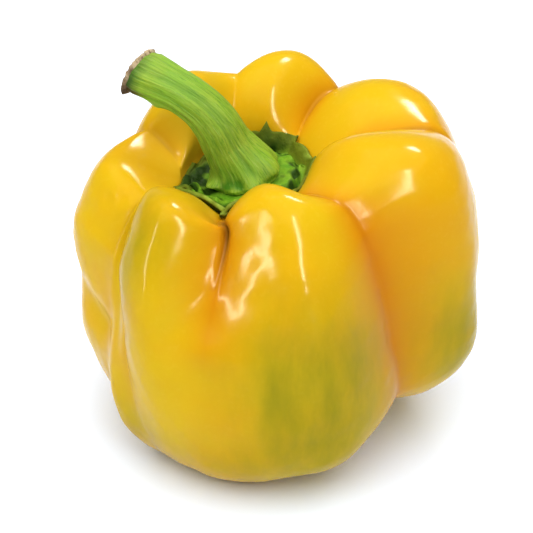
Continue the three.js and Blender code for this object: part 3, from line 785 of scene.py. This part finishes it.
STALK_GREEN = (0.18, 0.33, 0.011)
STALK_PALE = (0.32, 0.42, 0.035)
STALK_FRESH = (0.17, 0.38, 0.02)
DARK_LINE_AND_SHADE_GREEN = (0.07, 0.21, 0.009)
STALK_GLINT = (0.42, 0.52, 0.11)
BEHIND_CUT = (0.025, 0.075, 0.006)
DRIED_CORNER = (0.07, 0.04, 0.008)
stalk_material, tree, shader = new_material("ribbed_green_stalk")
place = node(tree, "ShaderNodeTexCoord").outputs["Object"]
grain_place = node(tree, "ShaderNodeAttribute", attribute_name="grain").outputs["Vector"]
fibres = spread(tree, noise(tree, grain_place, 14, detail=5, roughness=0.65), 0.3, 0.7)
patches = spread(tree, noise(tree, place, 120, detail=3), 0.4, 0.65)
stem_colour = blended(tree, fibres, STALK_GREEN, STALK_PALE)
stem_colour = blended(tree, times(tree, patches, 0.5), stem_colour, STALK_FRESH)
# Painted shade: darker green in the grooves
stem_colour = blended(tree, spread(tree, painted(tree, "groove_shade"), 0.05, 0.5), stem_colour, DARK_LINE_AND_SHADE_GREEN)
scratches = spread(tree, noise(tree, grain_place, 18, detail=4, roughness=0.7), 0.53, 0.62)
stem_colour = blended(tree, times(tree, scratches, 0.7), stem_colour, DARK_LINE_AND_SHADE_GREEN)
# Painted highlights: fine pale glints streaked along the fibres
pale_glint_lines = spread(tree, noise(tree, grain_place, 11, detail=5, roughness=0.7), 0.56, 0.66)
stem_colour = blended(tree, times(tree, pale_glint_lines, 0.4), stem_colour, STALK_GLINT)
stem_colour = blended(tree, painted(tree, "near_cut"), stem_colour, BEHIND_CUT)
stem_colour = blended(tree, painted(tree, "corner"), stem_colour, DRIED_CORNER)
link(tree, stem_colour, shader.inputs["Base Color"])
link(tree, spread(tree, fibres, 0, 1, 0.4, 0.55), shader.inputs["Roughness"])
shader.inputs["Specular IOR Level"].default_value = 0.07
let_light_in(shader, 0.08, (0.6, 1.0, 0.2), 0.0015)
raised(tree, shader, [
    (fibres, 0.0001),
    (noise(tree, place, 1800, detail=2), 0.00003),
])
stalk.data.materials.append(stalk_material)
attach(stalk, "root")
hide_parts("stalk")


# Cut end
# The face left by the picker's knife, dried to a thin tan cork skin. It is slightly domed, with a worn edge,
# and it has dried to a dark brown nub at its lower corner.

CUT_THICKNESS = 0.75
CUT_RADIUS = 5
CUT_DOME = 0.25
NUB_ANGLE = 200
NUB_WIDTH = 20
NUB_REACH = 0.24
# Radius and height above the stalk's end, from the back of the cork round its edge to near its middle
CUT_PROFILE = [
    (0.6 * CUT_RADIUS, 0.02),
    (CUT_RADIUS - 0.5, 0.02),
    (CUT_RADIUS, GAP + 0.35),
    (CUT_RADIUS - 0.3, GAP + CUT_THICKNESS),
    (0.75 * CUT_RADIUS, GAP + CUT_THICKNESS + 0.5 * CUT_DOME),
    (0.4 * CUT_RADIUS, GAP + CUT_THICKNESS + 0.85 * CUT_DOME),
]
CUT_STEPS = 12
end_middle, end_ahead, end_back, end_right = (v[-1] for v in (middle, ahead, back, right))
profile_r, profile_out = (np.array(v, float) for v in zip(*CUT_PROFILE))
steps = np.linspace(0, len(CUT_PROFILE) - 1, CUT_STEPS * (len(CUT_PROFILE) - 1) + 1)
cut_r = np.interp(steps, np.arange(len(CUT_PROFILE)), profile_r)[:, None]
cut_out = np.interp(steps, np.arange(len(CUT_PROFILE)), profile_out)[:, None]
nub = NUB_REACH * swell(off_angle(turn_degrees, NUB_ANGLE), NUB_WIDTH)
worn = 1 + 0.04 * np.sin(2 * turn + 1.1) + 0.03 * np.sin(5 * turn) + nub
cut_rows = (
    end_middle
    + end_ahead * (cut_out - CUT_SLANT * worn * cut_r * np.sin(turn))[..., None]
    + end_right * (worn * cut_r * np.cos(turn))[..., None]
    + end_back * (worn * cut_r * np.sin(turn))[..., None]
)
cork_rough = 0.07 * waves(cut_rows, 1.4, 41) + 0.05 * waves(cut_rows, 0.7, 42)
cut_rows = cut_rows + end_ahead * (cork_rough * ramp(cut_out, GAP, GAP + 0.35))[..., None]
cut_end = closed_mesh(
    "dried_cut_face",
    end_middle + end_ahead * 0.02,
    cut_rows,
    end_middle + end_ahead * (GAP + CUT_THICKNESS + CUT_DOME),
)
# Painted shade: the cork is painted browner in the dips of its rough surface
paint(cut_end, "cork_dip_shade", 0, cork_rough, 0)
dark_corner = swell(off_angle(turn_degrees, 214), 34) * ramp(cut_r / CUT_RADIUS, 0.45, 0.85)
paint(cut_end, "dark", 0, 0.95 * dark_corner, 0)
paint(cut_end, "outer", 0, ramp(cut_out, GAP + 0.45, GAP + 0.65) + 0 * turn, 1)

CORK_TAN = (0.50, 0.36, 0.19)
CORK_PALE = (0.66, 0.52, 0.33)
CORK_OUTER = (0.26, 0.17, 0.05)
CORK_STAIN_AND_SHADE_BROWN = (0.16, 0.085, 0.035)
CORK_DARK = (0.06, 0.035, 0.015)
cork_material, tree, shader = new_material("dried_tan_cork")
place = node(tree, "ShaderNodeTexCoord").outputs["Object"]
flakes = spread(tree, noise(tree, place, 900, detail=4, roughness=0.7), 0.35, 0.65)
cork_colour = blended(tree, flakes, CORK_TAN, CORK_PALE)
cork_colour = blended(tree, times(tree, painted(tree, "outer"), 0.75), cork_colour, CORK_OUTER)
# Painted shade: browner in the dips of the cork
cork_colour = blended(tree, spread(tree, painted(tree, "cork_dip_shade"), 0.0, -0.14), cork_colour, CORK_STAIN_AND_SHADE_BROWN)
stains = spread(tree, noise(tree, place, 380, detail=3, roughness=0.6), 0.5, 0.62)
cork_colour = blended(tree, times(tree, stains, 0.7), cork_colour, CORK_STAIN_AND_SHADE_BROWN)
cork_colour = blended(tree, painted(tree, "dark"), cork_colour, CORK_DARK)
link(tree, cork_colour, shader.inputs["Base Color"])
link(tree, spread(tree, flakes, 0, 1, 0.75, 0.92), shader.inputs["Roughness"])
shader.inputs["Specular IOR Level"].default_value = 0.08
raised(tree, shader, [(flakes, 0.0002)])
cut_end.data.materials.append(cork_material)
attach(cut_end, "root")
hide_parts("cut_end")


# Table and light
# A plain white surface, even white light all round and one large soft light overhead. Three narrow lights
# show in the gloss alone: a strip on the left, one at the front right and a box high at the back right.

TABLE_SIZE = 6
TABLE_WHITE = (0.82, 0.89, 1)
ROOM_LIGHT = 0.34
bpy.ops.mesh.primitive_plane_add(size=TABLE_SIZE, location=(0, 0, 0))
table = bpy.context.object
table.name = "white_table"
table_material, tree, shader = new_material("white_table_top")
shader.inputs["Base Color"].default_value = (*TABLE_WHITE, 1)
shader.inputs["Roughness"].default_value = 0.8
table.data.materials.append(table_material)


def softbox(name, azimuth, height_angle, distance, width, height, power, shine_only=False):
    """A flat light that faces the pepper from azimuth, where 0 is the camera's side and 90 the right, and
    from a height angle. Distance, width and height are in metres. shine_only leaves it just the gloss."""
    data = bpy.data.lights.new(name, "AREA")
    data.shape = "RECTANGLE"
    data.size = width
    data.size_y = height
    data.energy = power
    lamp = bpy.data.objects.new(name, data)
    a, e = math.radians(azimuth), math.radians(height_angle)
    way = Vector((math.sin(a) * math.cos(e), -math.cos(a) * math.cos(e), math.sin(e)))
    lamp.location = Vector((0, 0, 0.05)) + distance * way
    lamp.rotation_euler = way.to_track_quat("Z", "Y").to_euler()
    bpy.context.collection.objects.link(lamp)
    lamp.visible_camera = False
    lamp.visible_diffuse = not shine_only


softbox("left_strip", -62, 14, 1.2, 0.05, 0.6, 17, shine_only=True)
softbox("front_strip", 24, 34, 1.3, 0.17, 1.1, 72, shine_only=True)
softbox("back_box", 152, 52, 1.3, 0.34, 0.24, 34, shine_only=True)
softbox("top_box", -10, 78, 1.5, 2.6, 2.6, 61)

world = bpy.data.worlds.new("studio")
world.use_nodes = True
world.node_tree.nodes["Background"].inputs["Color"].default_value = (1, 1, 1, 1)
world.node_tree.nodes["Background"].inputs["Strength"].default_value = ROOM_LIGHT
bpy.context.scene.world = world
bpy.context.scene.view_settings.view_transform = "Standard"
